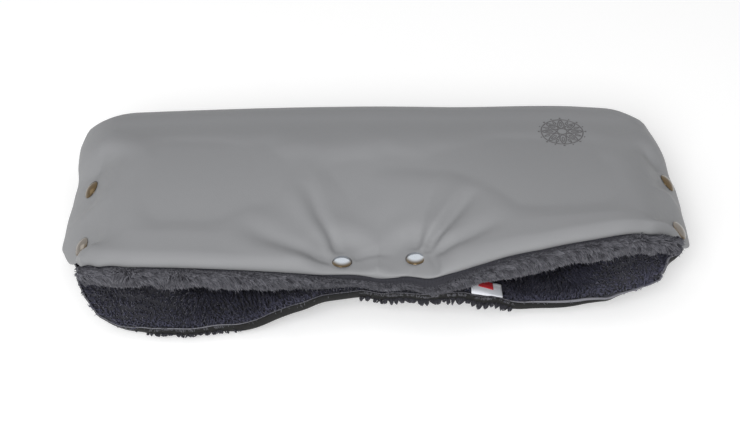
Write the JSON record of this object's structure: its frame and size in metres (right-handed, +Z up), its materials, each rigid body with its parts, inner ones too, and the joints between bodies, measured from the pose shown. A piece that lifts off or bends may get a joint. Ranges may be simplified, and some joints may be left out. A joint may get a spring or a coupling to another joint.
{
  "type": "stroller hand muff",
  "caption": "Padded hand muff for a pushchair handlebar: a leatherette shell lined with plush folds round the bar, and its flap snaps shut at the front and the sides.",
  "frame": {"origin": "middle of the box of the whole muff, on the surface that it lies on", "axes": "+X runs along the handlebar to the right as the person who pushes sees it, -Y points to that person, +Z is up"},
  "size_m": [0.5818, 0.2619, 0.104],
  "materials": {
    "leatherette": "smooth grey leatherette with a fine grain and a soft sheen",
    "piping": "turned edge of the same leatherette",
    "wadding": "white polyester wadding, hidden",
    "plush": "dense anthracite plush with a short pile",
    "snap_metal": "nickel-plated, bright",
    "spring": "spring bronze wire",
    "label": "white satin ribbon"
  },
  "bodies": {
    "lower_half": {"lower_shell": "leatherette", "lower_wadding": "wadding", "lower_lining": "plush", "back_fold_shell": "leatherette", "back_fold_wadding": "wadding", "back_fold_lining": "plush", "lower_front_piping": "piping", "care_label": "label", "stud_centre_left": "snap_metal", "stud_centre_right": "snap_metal", "stud_left_rear": "snap_metal", "stud_left_front": "snap_metal", "stud_right_rear": "snap_metal", "stud_right_front": "snap_metal", "eyelet_centre_left": "snap_metal", "eyelet_centre_right": "snap_metal", "eyelet_left_rear": "snap_metal", "eyelet_left_front": "snap_metal", "eyelet_right_rear": "snap_metal", "eyelet_right_front": "snap_metal"},
    "upper_flap": {"upper_shell": "leatherette", "upper_wadding": "wadding", "upper_lining": "plush", "upper_front_plush_roll": "plush", "cap_centre_left": "snap_metal", "socket_centre_left": "snap_metal", "spring_centre_left": "spring", "cap_centre_right": "snap_metal", "socket_centre_right": "snap_metal", "spring_centre_right": "spring", "cap_left_rear": "snap_metal", "socket_left_rear": "snap_metal", "spring_left_rear": "spring", "cap_left_front": "snap_metal", "socket_left_front": "snap_metal", "spring_left_front": "spring", "cap_right_rear": "snap_metal", "socket_right_rear": "snap_metal", "spring_right_rear": "spring", "cap_right_front": "snap_metal", "socket_right_front": "snap_metal", "spring_right_front": "spring"}
  },
  "joints": [
    {"name": "upper_flap_hinge", "type": "hinge", "parent": "lower_half", "child": "upper_flap", "pos_m": [0, 0.08405, 0.094], "axis": [-1, 0, 0], "range_deg": [0, 130], "deforming": ["spring_centre_left", "spring_centre_right", "spring_left_rear", "spring_left_front", "spring_right_rear", "spring_right_front"]}
  ]
}
